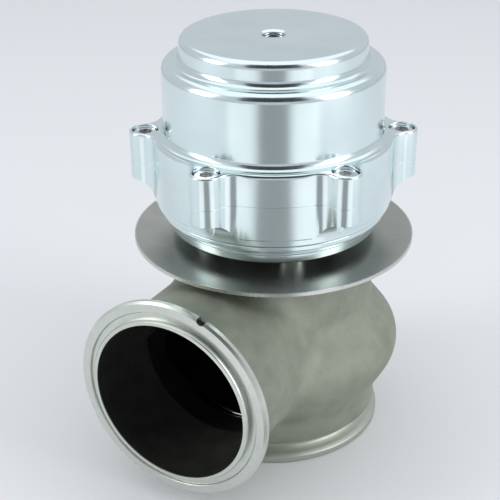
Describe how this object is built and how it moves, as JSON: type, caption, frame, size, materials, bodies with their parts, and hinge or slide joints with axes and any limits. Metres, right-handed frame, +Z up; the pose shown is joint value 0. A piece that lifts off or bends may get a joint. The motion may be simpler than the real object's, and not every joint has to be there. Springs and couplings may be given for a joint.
{
  "type": "turbo wastegate",
  "caption": "External turbo wastegate: a cast body with V-band inlet and outlet, a round heat shield, and a domed diaphragm actuator with screw ears.",
  "frame": {"origin": "centre of the inlet port at the inlet flange's face, which the part stands on", "axes": "+Z up the valve's axis towards the actuator, -Y out of the outlet, X completes the right-handed frame"},
  "size_m": [0.1178, 0.1436, 0.1739],
  "materials": {
    "cast_stainless": "satin cast stainless steel",
    "machined_stainless": "fine turned stainless steel",
    "shield_sheet": "satin stainless sheet",
    "billet_aluminium": "bright turned aluminium",
    "bronze": "machined bronze",
    "screw_steel": "bright stainless fastener",
    "spring_steel": "oiled spring steel",
    "seal_rubber": "black seal compound",
    "membrane_rubber": "fabric-backed silicone"
  },
  "bodies": {
    "gate": {"valve_body": "cast_stainless", "valve_seat": "machined_stainless", "valve_guide": "bronze", "stem_scraper": "machined_stainless", "heat_shield": "shield_sheet", "housing_standoffs": "machined_stainless", "actuator_housing": "billet_aluminium", "stem_bush": "bronze", "stem_seal": "seal_rubber", "seal_retaining_ring": "spring_steel", "housing_screws": "screw_steel", "housing_screw_washers": "screw_steel", "diaphragm": "membrane_rubber", "actuator_cap": "billet_aluminium", "cap_screws": "screw_steel", "outer_spring": "spring_steel", "middle_spring": "spring_steel", "inner_spring": "spring_steel"},
    "valve_train": {"valve": "machined_stainless", "diaphragm_plate": "billet_aluminium", "spring_cup": "billet_aluminium", "stem_washer": "screw_steel", "stem_nut": "screw_steel"}
  },
  "joints": [
    {"name": "valve_lift", "type": "slide", "parent": "gate", "child": "valve_train", "axis": [0, 0, 1], "range_m": [0, 0.016], "stiffness_N_per_m": 12000, "springref_m": -0.02, "deforming": ["outer_spring", "middle_spring", "inner_spring", "diaphragm"]}
  ]
}
